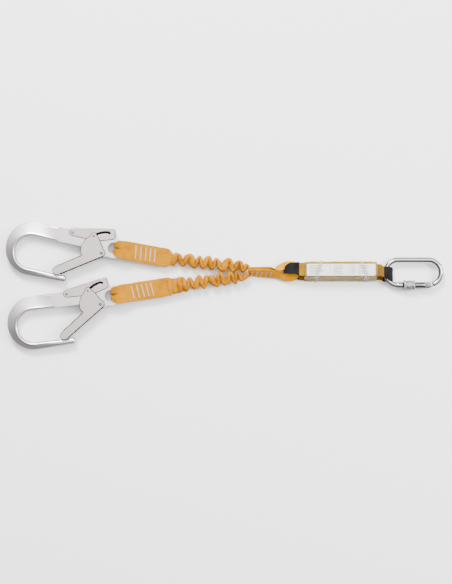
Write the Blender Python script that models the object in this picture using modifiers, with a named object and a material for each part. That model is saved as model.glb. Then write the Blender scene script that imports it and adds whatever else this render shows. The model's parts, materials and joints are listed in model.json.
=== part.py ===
"""Twin leg shock absorbing lanyard, lying flat: two scaffold hooks, two elastic legs, a yoke,
a tear absorber pack and an oval screwgate connector.  +X runs from the hooks to the connector."""
import math

import bmesh
import bpy
from mathutils import Matrix, Vector

MM = 0.001
GAP = 0.3                                  # clearance between pieces that touch, mm

# ---- driving dimensions, mm -------------------------------------------------------------------
WEBBING = 2.2                              # thickness of one layer of webbing
PROTECTOR = 1.0                            # thickness of the black wear protectors
HOOK_MID_Z = 13.0                          # mid plane of both hooks above the ground
BODY_HALF = 6.0                            # half thickness of a hook's forged body
LEVER_PLATE = (6.3, 8.0)                   # lever cheek, inner and outer face
GATE_PLATE = (8.3, 10.1)                   # gate cheek, inner and outer face
EYE_HOLE, EYE_RIM = 11.0, 18.5             # eye of a hook, hole and rim radius
GATE_PIVOT = (-20.5, -12.4)
LEVER_PIVOT = (-79.8, 15.7)
PIN_RADIUS, PIN_ARM, PIN_START = 1.5, 34.45, 124.5
GATE_OPEN, LEVER_OPEN = 40.0, 4.0          # travel of gate and lever, degrees
ARM_ANGLE = 213.0                          # heading of the closed gate's arm
GATE_BORE, GATE_SHANK, GATE_HEAD = 1.2, 2.2, 3.5   # hollow rivet at the gate's pivot, radii
LEVER_SHANK, LEVER_HEAD = 1.8, 2.9
PIN_HEAD = 2.6
PIVOT_PLAY = 0.4                           # between a shank and its hole
SPRING_X, SPRING_LOW, SPRING_HIGH = -62.0, 9.6, 22.0   # lever's return spring

LOOP_CENTRE, LOOP_INNER, LOOP_OUTER = 13.0, 10.0, 12.4
STRAP_HALF_WIDTH, PINCH_HALF_WIDTH = 17.3, 9.0
STRAP_END = 116.0
TACKS = (41.0, 50.5, 59.7, 68.2, 76.9)

FRAME_SHIFT = (0.299, 1.967, 0.0)          # puts the origin under the middle of the whole object
LEGS = {                                   # eye x, eye y, heading, sleeve end x, sleeve end y
    "a": (-204.9, 67.6, -10.3, 41.4, 32.5),
    "b": (-210.4, -19.9, 8.9, 41.4, 17.0),
}
SLEEVE_RADIUS, SLEEVE_END_RADIUS = 11.9, 7.2

YOKE_START, YOKE_MID, YOKE_FRONT_Y = 42.8, 14.0, 22.0
YOKE_TACKS = (48.0, 55.5, 63.0, 70.5, 78.0)
PACK_START, PACK_END = 147.0, 281.0
PACK_MID_Y, PACK_HALF_WIDTH, PACK_MID_Z, PACK_SHEAR = 24.6, 13.8, 14.0, 11.0 / 28.0

CARABINER_Z, WIRE = 11.8, 4.5
OVAL_LEFT, OVAL_RIGHT, OVAL_Y, OVAL_RADIUS = 321.2, 377.0, 22.9, 23.4
BAR_Y, BAR_RADIUS = -0.5, 5.65
RIVET_X, LATCH_X = 377.0, 324.0
SLEEVE_START, SLEEVE_LENGTH = 331.0, 20.6

FINISHES = {                               # base colour, roughness, metallic
    "webbing": ((0.93, 0.42, 0.06), 0.85, 0.0),
    "thread": ((0.80, 0.55, 0.38), 0.80, 0.0),
    "elastic": ((0.85, 0.36, 0.05), 0.85, 0.0),
    "rubber": ((0.70, 0.68, 0.62), 0.70, 0.0),
    "protector": ((0.03, 0.03, 0.03), 0.75, 0.0),
    "film": ((0.72, 0.62, 0.38), 0.30, 0.0),
    "label": ((0.85, 0.85, 0.83), 0.45, 0.0),
    "aluminium": ((0.88, 0.88, 0.88), 0.35, 1.0),
    "plate": ((0.80, 0.77, 0.76), 0.35, 1.0),
    "steel": ((0.62, 0.62, 0.61), 0.20, 1.0),
}

for item in list(bpy.data.objects):
    bpy.data.objects.remove(item)
PARTS = bpy.data.collections.new("shock_absorbing_lanyard")
CUTTERS = bpy.data.collections.new("cutters")
for group in (PARTS, CUTTERS):
    bpy.context.scene.collection.children.link(group)


# ---- general helpers --------------------------------------------------------------------------
def finish(obj, look):
    """Give an object a material of its own in one of the finishes."""
    colour, roughness, metallic = FINISHES[look]
    material = bpy.data.materials.new(obj.name)
    material.use_nodes = True
    shader = material.node_tree.nodes["Principled BSDF"]
    shader.inputs["Base Color"].default_value = (*colour, 1.0)
    shader.inputs["Roughness"].default_value = roughness
    shader.inputs["Metallic"].default_value = metallic
    obj.data.materials.clear()
    obj.data.materials.append(material)
    return obj


def new_object(name, mesh):
    obj = bpy.data.objects.new(name, mesh)
    PARTS.objects.link(obj)
    return obj


def curve_to_mesh(name, curve):
    """Turn a curve into a welded mesh object and drop the curve."""
    source = bpy.data.objects.new(name, curve)
    PARTS.objects.link(source)
    evaluated = source.evaluated_get(bpy.context.evaluated_depsgraph_get())
    mesh = bpy.data.meshes.new_from_object(evaluated)
    place = source.matrix_world.copy()
    bpy.data.objects.remove(source)
    bm = bmesh.new()
    bm.from_mesh(mesh)
    bmesh.ops.remove_doubles(bm, verts=bm.verts, dist=1e-6)
    bmesh.ops.recalc_face_normals(bm, faces=bm.faces)
    bm.to_mesh(mesh)
    bm.free()
    obj = new_object(name, mesh)
    obj.matrix_world = place
    return obj


def outline(name, loops, low, high):
    """Solid between two heights from closed loops in XY; loops inside the first are holes."""
    curve = bpy.data.curves.new(name, "CURVE")
    curve.dimensions = "2D"
    curve.fill_mode = "BOTH"
    curve.extrude = (high - low) / 2 * MM
    for loop in loops:
        spline = curve.splines.new("POLY")
        spline.points.add(len(loop) - 1)
        for point, (x, y) in zip(spline.points, loop):
            point.co = (x * MM, y * MM, 0.0, 1.0)
        spline.use_cyclic_u = True
    obj = curve_to_mesh(name, curve)
    obj.data.transform(Matrix.Translation((0, 0, (low + high) / 2 * MM)))
    return obj


def to_xz(obj):
    """Stand an XY outline up in XZ, its thickness along Y."""
    obj.data.transform(Matrix.Rotation(math.radians(90), 4, "X"))
    return obj


def to_yz(obj):
    """Stand an XY outline up in YZ, its thickness along X."""
    obj.data.transform(Matrix(((0, 0, 1, 0), (1, 0, 0, 0), (0, 1, 0, 0), (0, 0, 0, 1))))
    return obj


def wire(name, points, radius, resolution=2, closed=False):
    """Round bar or wire along points in mm."""
    curve = bpy.data.curves.new(name, "CURVE")
    curve.dimensions = "3D"
    curve.bevel_depth = radius * MM
    curve.bevel_resolution = resolution
    curve.use_fill_caps = True
    spline = curve.splines.new("POLY")
    spline.points.add(len(points) - 1)
    for point, place in zip(spline.points, points):
        point.co = (*[value * MM for value in place], 1.0)
    spline.use_cyclic_u = closed
    return curve_to_mesh(name, curve)


def turned(name, profile, axis="Z", steps=16, ring=False):
    """Turned piece from (radius, height) in mm, listed top to bottom on the outer side."""
    mesh = bpy.data.meshes.new(name)
    bm = bmesh.new()
    verts = [bm.verts.new((r * MM, 0, h * MM)) for r, h in profile]
    for first, second in zip(verts, verts[1:]):
        bm.edges.new((first, second))
    if ring:
        bm.edges.new((verts[-1], verts[0]))
    bm.to_mesh(mesh)
    bm.free()
    obj = new_object(name, mesh)
    screw = obj.modifiers.new("turn", "SCREW")
    screw.angle = math.radians(360)
    screw.steps = screw.render_steps = steps
    screw.use_merge_vertices = True
    screw.merge_threshold = 0.00001
    if axis == "X":
        obj.rotation_euler = (0, math.radians(90), 0)
    return obj


def box(name, size, centre):
    bm = bmesh.new()
    bmesh.ops.create_cube(bm, size=1.0)
    bmesh.ops.scale(bm, vec=Vector(size) * MM, verts=bm.verts)
    bmesh.ops.translate(bm, vec=Vector(centre) * MM, verts=bm.verts)
    mesh = bpy.data.meshes.new(name)
    bm.to_mesh(mesh)
    bm.free()
    return new_object(name, mesh)


def cylinder(name, radius, length, centre, axis="Z", segments=24):
    bm = bmesh.new()
    bmesh.ops.create_cone(bm, cap_ends=True, segments=segments, radius1=radius * MM,
                          radius2=radius * MM, depth=length * MM)
    turn = {"Z": Matrix(), "X": Matrix.Rotation(math.radians(90), 4, "Y"),
            "Y": Matrix.Rotation(math.radians(90), 4, "X")}[axis]
    bmesh.ops.transform(bm, matrix=Matrix.Translation(Vector(centre) * MM) @ turn, verts=bm.verts)
    mesh = bpy.data.meshes.new(name)
    bm.to_mesh(mesh)
    bm.free()
    return new_object(name, mesh)


def as_tool(obj):
    """Move a piece to the cutters."""
    PARTS.objects.unlink(obj)
    CUTTERS.objects.link(obj)
    obj.hide_render = True
    obj.display_type = "WIRE"
    return obj


def boolean(target, tool, operation, solver):
    modifier = target.modifiers.new(operation.lower(), "BOOLEAN")
    modifier.operation = operation
    modifier.solver = solver
    modifier.object = as_tool(tool)
    return target


def cut(target, tool, solver="EXACT"):
    return boolean(target, tool, "DIFFERENCE", solver)


def join(target, tool, solver="EXACT"):
    return boolean(target, tool, "UNION", solver)


def origin_at(obj, point):
    """Put an object's origin at a point, leaving its surface where it is."""
    place = Vector(point) * MM
    obj.data.transform(Matrix.Translation(-place))
    obj.location = place
    return obj


def bevelled(obj, width, segments=1):
    modifier = obj.modifiers.new("edges", "BEVEL")
    modifier.width = width * MM
    modifier.segments = segments
    modifier.limit_method = "ANGLE"
    modifier.angle_limit = math.radians(50)
    return obj


def arc(centre, radius, start, end, steps):
    """Points on an arc, angles in degrees, both ends included."""
    angles = [math.radians(start + (end - start) * i / steps) for i in range(steps + 1)]
    return [(centre[0] + radius * math.cos(a), centre[1] + radius * math.sin(a)) for a in angles]


def ease(value, low, high):
    """Smooth step from 0 at low to 1 at high."""
    t = min(max((value - low) / (high - low), 0.0), 1.0)
    return t * t * (3 - 2 * t)


def blend(value, low, high, first, second):
    return first + (second - first) * ease(value, low, high)


def smooth_loop(points, per_span):
    """Closed Catmull-Rom curve through the points."""
    result = []
    count = len(points)
    for i in range(count):
        p0, p1, p2, p3 = (Vector(points[(i + k) % count]) for k in (-1, 0, 1, 2))
        for step in range(per_span):
            t = step / per_span
            result.append(tuple(0.5 * (2 * p1 + (p2 - p0) * t + (2 * p0 - 5 * p1 + 4 * p2 - p3) * t ** 2
                                       + (3 * p1 - p0 - 3 * p2 + p3) * t ** 3)))
    return result


def normals(path, closed):
    result = []
    for i, point in enumerate(path):
        before = path[i - 1] if i or closed else point
        after = path[(i + 1) % len(path)] if closed or i + 1 < len(path) else point
        heading = (Vector(after) - Vector(before)).normalized()
        result.append(Vector((-heading.y, heading.x)))
    return result


def offset(path, distance, closed=False):
    return [tuple(Vector(p) + n * distance) for p, n in zip(path, normals(path, closed))]


def ribbon(path, thickness, round_ends=False):
    """Closed outline of a strip of this thickness along an open path."""
    half = thickness / 2
    left, right = offset(path, half), offset(path, -half)
    if not round_ends:
        return left + right[::-1]
    side = normals(path, False)
    end = math.degrees(math.atan2(side[-1].y, side[-1].x))
    start = math.degrees(math.atan2(side[0].y, side[0].x))
    return (left[:-1] + arc(path[-1], half, end, end - 180, 6) + right[-2:0:-1]
            + arc(path[0], half, start - 180, start - 360, 6)[:-1])


# ---- hooks ------------------------------------------------------------------------------------
def hook_body_outline():
    recess = PIN_ARM - PIN_RADIUS - 0.6
    inner_bend, outer_bend = (-149.5, -34.0), (-149.0, -28.0)
    return (arc((0, 0), EYE_RIM, 104, -112, 20)
            + [(-14, -18.2), (-23, -18.6), (-31, -16.4), (-44, -10.4), (-60, -7.0)]
            + arc(inner_bend, 30.0, 90, 270, 16)
            + [(-120, -65.0), (-84, -65.6)]
            + arc((-82, -71.3), 5.7, 75, -90, 8)
            + [(-120, -77.2)]
            + arc(outer_bend, 49.0, 270, 90, 20)
            + [(-100, 20.4), (-47.5, 20.0), (-44.2, 17.4), (-42.8, 13.6)]
            + arc(GATE_PIVOT, recess, 130.5, 66, 12))


def slot_path():
    """Path of the lock pin as the lever sees it while both open together."""
    path = []
    for i in range(-1, 14):
        share = i / 13
        angle = math.radians(PIN_START - GATE_OPEN * share)
        pin = Vector(GATE_PIVOT) + PIN_ARM * Vector((math.cos(angle), math.sin(angle)))
        back = Matrix.Rotation(math.radians(LEVER_OPEN * share), 2)
        path.append(tuple(Vector(LEVER_PIVOT) + back @ (pin - Vector(LEVER_PIVOT))))
    return path


def lever_outline():
    return (arc(LEVER_PIVOT, 7.6, 270, 95, 12)
            + [(-9.7, 33.8), (-4.2, 33.4), (-1.8, 31.0), (-0.4, 20.5), (-1.5, 16.7)]
            + [(-15, 12.6), (-29, 8.9), (-40, 8.1)])


def gate_point(along, across):
    """Point in the gate's arm frame: along the arm, and across it towards the spine."""
    heading = math.radians(ARM_ANGLE)
    forward = Vector((math.cos(heading), math.sin(heading)))
    side = Vector((forward.y, -forward.x))
    return tuple(Vector(GATE_PIVOT) + forward * along + side * across)


def gate_outline():
    pin = (GATE_PIVOT[0] + PIN_ARM * math.cos(math.radians(PIN_START)),
           GATE_PIVOT[1] + PIN_ARM * math.sin(math.radians(PIN_START)))
    tip = [gate_point(along, across) for along, across in
           ((84, -8.0), (90, -6.6), (94, -3.0), (95.5, 1.5), (93, 6.0), (88, 8.8), (80, 9.8))]
    return (arc(GATE_PIVOT, 8.6, 50, -57, 9) + tip + [gate_point(46, 10.6), (-57.5, -18.5),
            (-58.0, -12.0), (-50.0, 11.6)] + arc(pin, 5.0, 165, 35, 8)
            + [(-28, 8.7), (-21.5, -3.0)])


def mirrored_plates(name, loops, layer):
    """Two cheeks, one each side of the mid plane, as a target and a tool."""
    top = outline(name, loops, *layer)
    below = outline(name + "_below", loops, -layer[1], -layer[0])
    return top, below


def hook_pieces(key, base):
    name = f"hook_{key}_"
    body = outline(name + "body", [hook_body_outline(), arc((0, 0), EYE_HOLE, 0, 342, 19),
                                   arc(GATE_PIVOT, GATE_SHANK + PIVOT_PLAY, 0, 330, 11),
                                   arc(LEVER_PIVOT, LEVER_SHANK + PIVOT_PLAY, 0, 330, 11)],
                   -BODY_HALF, BODY_HALF)
    bevelled(body, 1.3)
    cut(body, cylinder(name + "spring_bore", 3.3, 14.0, (SPRING_X, 15.4, 0.0), "Y", 12))
    finish(body, "aluminium")

    lever, lever_below = mirrored_plates(
        name + "lever", [lever_outline(), ribbon(slot_path(), 2 * PIN_RADIUS + 0.7, True),
                         arc(LEVER_PIVOT, LEVER_SHANK + PIVOT_PLAY, 0, 330, 11)], LEVER_PLATE)
    web = [(-71.0, 24.5), (-9.7, 33.8), (-4.2, 33.4), (-4.2, 31.7), (-9.9, 32.1), (-71.0, 22.8)]
    join(lever, lever_below)
    join(lever, outline(name + "lever_web", [web], -LEVER_PLATE[1], LEVER_PLATE[1]))
    finish(lever, "plate")

    gate, gate_below = mirrored_plates(
        name + "gate", [gate_outline(), arc(GATE_PIVOT, GATE_SHANK + PIVOT_PLAY, 0, 330, 11),
                        arc(pin_place(), PIN_RADIUS + GAP, 0, 300, 5)], GATE_PLATE)
    web = [gate_point(26, -8.6), gate_point(78, -8.1), gate_point(78, -6.4), gate_point(26, -6.9)]
    join(gate, gate_below)
    join(gate, outline(name + "gate_web", [web], -GATE_PLATE[1], GATE_PLATE[1]))
    finish(gate, "plate")

    head = GATE_PLATE[1] + GAP
    pivot = turned(name + "gate_pivot_rivet",
                   [(GATE_BORE, 11.9), (GATE_HEAD - 0.7, 11.9), (GATE_HEAD, 11.3), (GATE_HEAD, head),
                    (GATE_SHANK, head), (GATE_SHANK, -head), (GATE_HEAD, -head),
                    (GATE_HEAD, -11.3), (GATE_HEAD - 0.7, -11.9), (GATE_BORE, -11.9)], ring=True)
    low_head = LEVER_PLATE[1] + GAP
    lever_rivet = turned(name + "lever_pivot_rivet",
                         [(0, 9.6), (LEVER_HEAD - 0.7, 9.6), (LEVER_HEAD, 9.1), (LEVER_HEAD, low_head),
                          (LEVER_SHANK, low_head), (LEVER_SHANK, -low_head), (LEVER_HEAD, -low_head),
                          (LEVER_HEAD, -9.1), (LEVER_HEAD - 0.7, -9.6), (0, -9.6)])
    lock_pin = turned(name + "lock_pin",
                      [(0, 11.7), (PIN_HEAD - 0.7, 11.7), (PIN_HEAD, 11.1), (PIN_HEAD, head),
                       (PIN_RADIUS, head), (PIN_RADIUS, -head), (PIN_HEAD, -head),
                       (PIN_HEAD, -11.1), (PIN_HEAD - 0.7, -11.7), (0, -11.7)])
    for piece, place in ((pivot, GATE_PIVOT), (lever_rivet, LEVER_PIVOT), (lock_pin, pin_place())):
        piece.location = Vector((*place, 0)) * MM
        finish(piece, "steel")

    turns, per_turn = 1.6, 12
    coil = []
    for i in range(int(turns * per_turn) + 1):
        angle = math.radians(ARM_ANGLE - 90 - 360 * i / per_turn)
        coil.append((GATE_PIVOT[0] + 5.0 * math.cos(angle), GATE_PIVOT[1] + 5.0 * math.sin(angle),
                     7.7 - 0.8 * i / (turns * per_turn)))
    rest = [(*gate_point(along, 5.0), 7.72) for along in (30.0, 20.0, 8.0)]
    gate_spring = finish(wire(name + "gate_spring", rest + coil, 0.33, 1), "steel")

    turns, per_turn = 4, 8
    coil = [(SPRING_X + 2.3 * math.cos(math.tau * i / per_turn),
             SPRING_LOW + (SPRING_HIGH - SPRING_LOW) * i / (turns * per_turn),
             2.3 * math.sin(math.tau * i / per_turn)) for i in range(turns * per_turn + 1)]
    lever_spring = finish(wire(name + "lever_spring", coil, 0.4, 1), "steel")

    origin_at(gate, (*GATE_PIVOT, 0))
    origin_at(lever, (*LEVER_PIVOT, 0))
    for piece in (body, lever, gate, pivot, lever_rivet, lock_pin, gate_spring, lever_spring):
        piece.parent = base
    for tool in CUTTERS.objects:
        if tool.parent is None and tool.name.startswith(name):
            tool.parent = base


def pin_place():
    angle = math.radians(PIN_START)
    return (GATE_PIVOT[0] + PIN_ARM * math.cos(angle), GATE_PIVOT[1] + PIN_ARM * math.sin(angle))


# ---- legs -------------------------------------------------------------------------------------
def tack_outline(places, length, width, thread=0.8):
    """Outline of bar tacks across a strap, joined by the running stitch down its middle."""
    side = []
    for x in places:
        side += [(x - length / 2, thread / 2), (x - length / 2, width / 2),
                 (x + length / 2, width / 2), (x + length / 2, thread / 2)]
    return side + [(x, -y) for x, y in side[::-1]]


def strap_half_width(x):
    flare = blend(x, 20.0, 42.0, PINCH_HALF_WIDTH, STRAP_HALF_WIDTH)
    return blend(x, 98.0, 113.0, flare, PINCH_HALF_WIDTH)


def leg_end(key, base):
    centre = (LOOP_CENTRE, 0.0)
    straight = [(x, 2.5) for x in (116, 113, 110, 107, 104, 101, 98, 39.7, 36, 32, 28, 24)]
    rising = [(x, 2.5 + max(0.0, 39.7 - x) * 0.4) for x, _ in straight]
    outer = (rising + arc(centre, LOOP_OUTER, 65, 295, 26) + [(x, -z) for x, z in rising[::-1]])
    inner = ([(36.0, 0.0)] + [(x, (36.0 - x) * 0.463 + 0.3) for x in (32, 28, 24)]
             + arc(centre, LOOP_INNER, 58, 302, 26)
             + [(x, -(36.0 - x) * 0.463 - 0.3) for x in (24, 28, 32)])
    strap = to_xz(outline(f"leg_{key}_end_loop", [outer, inner], -1.0, 1.0))
    for vertex in strap.data.vertices:
        vertex.co.y *= strap_half_width(vertex.co.x / MM)
    finish(strap, "webbing")

    top = 2.5 + GAP
    tacks = outline(f"leg_{key}_bar_tacks", [tack_outline(TACKS, 2.4, 25.0)], top, top + 0.8)
    finish(tacks, "thread")
    for piece in (strap, tacks):
        piece.parent = base


def tube_surface(name, start, end, radius_at, rings, sides, wall):
    """Open tube between two points whose radius follows the length; the wall is Solidify."""
    axis = (Vector(end) - Vector(start)) * MM
    side = axis.cross(Vector((0, 0, 1))).normalized()
    bm = bmesh.new()
    bmesh.ops.create_grid(bm, x_segments=sides, y_segments=rings, size=0.5)
    for vertex in bm.verts:
        angle, share = math.tau * (vertex.co.x + 0.5), vertex.co.y + 0.5
        radius = radius_at(share) * MM
        vertex.co = (Vector(start) * MM + axis * share + side * radius * math.cos(angle)
                     + Vector((0, 0, 1)) * radius * math.sin(angle))
    bmesh.ops.remove_doubles(bm, verts=bm.verts, dist=1e-6)
    bmesh.ops.recalc_face_normals(bm, faces=bm.faces)
    mesh = bpy.data.meshes.new(name)
    bm.to_mesh(mesh)
    bm.free()
    obj = new_object(name, mesh)
    shell = obj.modifiers.new("wall", "SOLIDIFY")
    shell.thickness = wall * MM
    shell.offset = -1.0
    return obj


def leg_line(key):
    """Start and end of a leg's elastic part."""
    x, y, heading, end_x, end_y = LEGS[key]
    turn = math.radians(heading)
    reach = STRAP_END - 3.0
    start = Vector((x + reach * math.cos(turn), y + reach * math.sin(turn), HOOK_MID_Z))
    return start, Vector((end_x, end_y, HOOK_MID_Z))


def elastic_leg(key):
    start, end = leg_line(key)
    sleeve = tube_surface(f"leg_{key}_elastic_sleeve", start, end,
                          lambda share: blend(share, 0.5, 1.0, SLEEVE_RADIUS, SLEEVE_END_RADIUS),
                          8, 14, 1.0)
    finish(sleeve, "elastic")
    heading = (end - start).normalized()
    side = Vector((-heading.y, heading.x, 0))
    first, last = start + heading * 4.0, end - heading * 0.4
    core = outline(f"leg_{key}_elastic_core",
                   [[tuple((p + side * s)[:2]) for p, s in
                     ((first, 5.5), (last, 4.5), (last, -4.5), (first, -5.5))]],
                   HOOK_MID_Z - 1.3, HOOK_MID_Z + 1.3)
    finish(core, "rubber")


# ---- yoke -------------------------------------------------------------------------------------
YOKE_RING = [(93, 31), (99, 38), (106, 42.3), (118, 43), (130, 41), (136, 33), (136.5, 24),
             (130, 12), (120, 6.8), (109, 8.5), (100, 14.5), (93, 21)]


def yoke_half_width(x):
    return blend(x, 86.0, 104.0, 13.0, 8.9)


def yoke_lean(x):
    return blend(x, 82.0, 102.0, 0.37, 0.0)


def lean_yoke(obj):
    """Spread the piece to the yoke's width and let it lean over to the far side."""
    for vertex in obj.data.vertices:
        x, side = vertex.co.x / MM, math.copysign(1, vertex.co.z)
        height = side * yoke_half_width(x) if abs(vertex.co.z) > 0.5 * MM else 0.0
        vertex.co.z = (YOKE_MID + height) * MM
        vertex.co.y += yoke_lean(x) * height * MM


def yoke():
    ring = smooth_loop(YOKE_RING, 4)
    hole = offset(ring, WEBBING / 2, True)
    shell = offset(ring, -WEBBING / 2, True)
    if max(x for x, _ in hole) > max(x for x, _ in shell):
        hole, shell = shell, hole
    neck = [(YOKE_START, 28.4), (60, 28.6), (80, 28.4), (92.6, 27.0)]
    neck_back = [(x, YOKE_FRONT_Y) for x in (92.6, 80, 60, YOKE_START)]
    strap = outline("yoke_webbing", [neck + neck_back], -1.0, 1.0)
    loop = outline("yoke_ring", [shell, hole], -1.0, 1.0)
    for piece in (strap, loop):
        lean_yoke(piece)
    join(strap, loop, "MANIFOLD")
    finish(strap, "webbing")
    front = YOKE_FRONT_Y - GAP - 0.4
    tacks = to_xz(outline("yoke_bar_tacks", [tack_outline(YOKE_TACKS, 2.2, 16.0)], -0.4, 0.4))
    for vertex in tacks.data.vertices:
        vertex.co.y += front * MM + yoke_lean(YOKE_START) * vertex.co.z
        vertex.co.z += YOKE_MID * MM
    finish(tacks, "thread")


# ---- absorber pack ----------------------------------------------------------------------------
def pack_lean(z):
    return PACK_SHEAR * (z - PACK_MID_Z)


def lean_pack(obj):
    for vertex in obj.data.vertices:
        vertex.co.y += pack_lean(vertex.co.z / MM) * MM
    return obj


def rounded_box_loop(half_y, low, high, radius, steps=3):
    """Closed YZ loop of a box with round corners, centred on the pack."""
    left, right = PACK_MID_Y - half_y + radius, PACK_MID_Y + half_y - radius
    bottom, top = low + radius, high - radius
    return (arc((right, bottom), radius, 270, 360, steps) + arc((right, top), radius, 0, 90, steps)
            + arc((left, top), radius, 90, 180, steps) + arc((left, bottom), radius, 180, 270, steps))


def tear_webbing():
    """One strap folded back and forth into ten layers."""
    layers, pitch, low = 10, 2.6, 2.6
    first, last, turn = 158.0, 270.0, pitch / 2
    path = []
    for layer in range(layers):
        z = low + layer * pitch
        going = layer % 2 == 0
        path += [(first, z), (last, z)] if going else [(last, z), (first, z)]
        if layer + 1 < layers:
            centre = (last if going else first, z + turn)
            sweep = arc(centre, turn, 270, 450, 6) if going else arc(centre, turn, 270, 90, 6)
            path += sweep[1:-1]
    strap = to_xz(outline("absorber_tear_webbing", [ribbon(path, 2.1)], -12.4, 12.4))
    strap.data.transform(Matrix.Translation((0, PACK_MID_Y * MM, 0)))
    finish(lean_pack(strap), "webbing")


def pack_cover():
    film = to_yz(outline("absorber_film_cover",
                         [rounded_box_loop(PACK_HALF_WIDTH, 0.9, 27.9, 1.6),
                          rounded_box_loop(PACK_HALF_WIDTH - 0.6, 1.5, 27.3, 1.0)],
                         PACK_START, PACK_END))
    finish(lean_pack(film), "film")
    label = box("absorber_label", (126.0, 21.6, 0.4), (214.0, 27.8 - pack_lean(28.4), 28.4))
    finish(lean_pack(label), "label")
    for name, centre, slant in (("left", 173.5, 0.16), ("right", 256.0, -0.2)):
        band = to_yz(outline(f"absorber_{name}_band",
                             [rounded_box_loop(PACK_HALF_WIDTH + 0.9, 0.0, 29.5, 2.2),
                              rounded_box_loop(PACK_HALF_WIDTH + 0.3, 0.6, 28.9, 1.6)],
                             centre - 3.6, centre + 3.6))
        for vertex in band.data.vertices:
            vertex.co.x += slant * (vertex.co.y - PACK_MID_Y * MM)
        finish(lean_pack(band), "film")


def eye_path(bight, root, half_height, mid_z, steps=16):
    """U-shaped path in XZ: from the root, round the bight, back to the root."""
    sign = 1 if root > bight else -1
    centre = (bight + sign * half_height, mid_z)
    start, end = (90, 270) if sign > 0 else (90, -90)
    return [(root, mid_z + half_height)] + arc(centre, half_height, start, end, steps) + [
        (root, mid_z - half_height)]


def add_cuts(path, spacing=8.0):
    """Split the two straight runs of a U-shaped path so that they can follow the lean."""
    result = []
    for first, second in zip(path, path[1:]):
        count = max(1, round((Vector(second) - Vector(first)).length / spacing))
        result += [tuple(Vector(first).lerp(Vector(second), i / count)) for i in range(count)]
    return result + [path[-1]]


def eye_strap(name, path, thickness, extra, centre_at, half_at, lean_at):
    """Strap along a U-shaped path, spread to its width at every x."""
    strap = to_xz(outline(name, [ribbon(add_cuts(path), thickness)], -1.0, 1.0))
    for vertex in strap.data.vertices:
        x, z, side = vertex.co.x / MM, vertex.co.z / MM, math.copysign(1, vertex.co.y)
        vertex.co.y = (centre_at(x) + side * (half_at(x) + extra) + lean_at(x) * pack_lean(z)) * MM
    return strap


def absorber_eyes():
    eyes = {
        "left": dict(bight=110.2, root=155.0, half_height=10.9, mid_z=14.0, cover_end=137.5,
                     centre=lambda x: blend(x, 126, 138, 29.2, PACK_MID_Y),
                     half=lambda x: blend(x, 122, 138, 9.4, 11.4),
                     lean=lambda x: blend(x, 126, 138, 0.0, 1.0)),
        "right": dict(bight=309.4, root=273.0, half_height=8.9, mid_z=CARABINER_Z,
                      cover_end=295.0,
                      centre=lambda x: blend(x, 289, 298, PACK_MID_Y, 21.0),
                      half=lambda x: blend(x, 289, 298, 11.4, 9.0),
                      lean=lambda x: blend(x, 289, 298, 1.0, 0.0)),
    }
    for side, eye in eyes.items():
        path = eye_path(eye["bight"], eye["root"], eye["half_height"], eye["mid_z"])
        spread = (eye["centre"], eye["half"], eye["lean"])
        finish(eye_strap(f"absorber_{side}_eye_strap", path, WEBBING, 0.0, *spread), "webbing")
        outward = WEBBING / 2 + GAP + PROTECTOR / 2
        tip = eye["bight"] + math.copysign(outward, eye["bight"] - eye["root"])
        path = eye_path(tip, eye["cover_end"], eye["half_height"] + outward, eye["mid_z"])
        cover = eye_strap(f"absorber_{side}_eye_protector", path, PROTECTOR, 0.6, *spread)
        finish(cover, "protector")
    top = CARABINER_Z + eyes["right"]["half_height"] + WEBBING / 2 + GAP
    stitch = outline("absorber_right_eye_stitching", [tack_outline((285.4, 289.2), 1.4, 16.0)],
                     top, top + 0.5)
    stitch.data.transform(Matrix.Translation((0, 22.5 * MM, 0)))
    finish(stitch, "protector")


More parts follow.
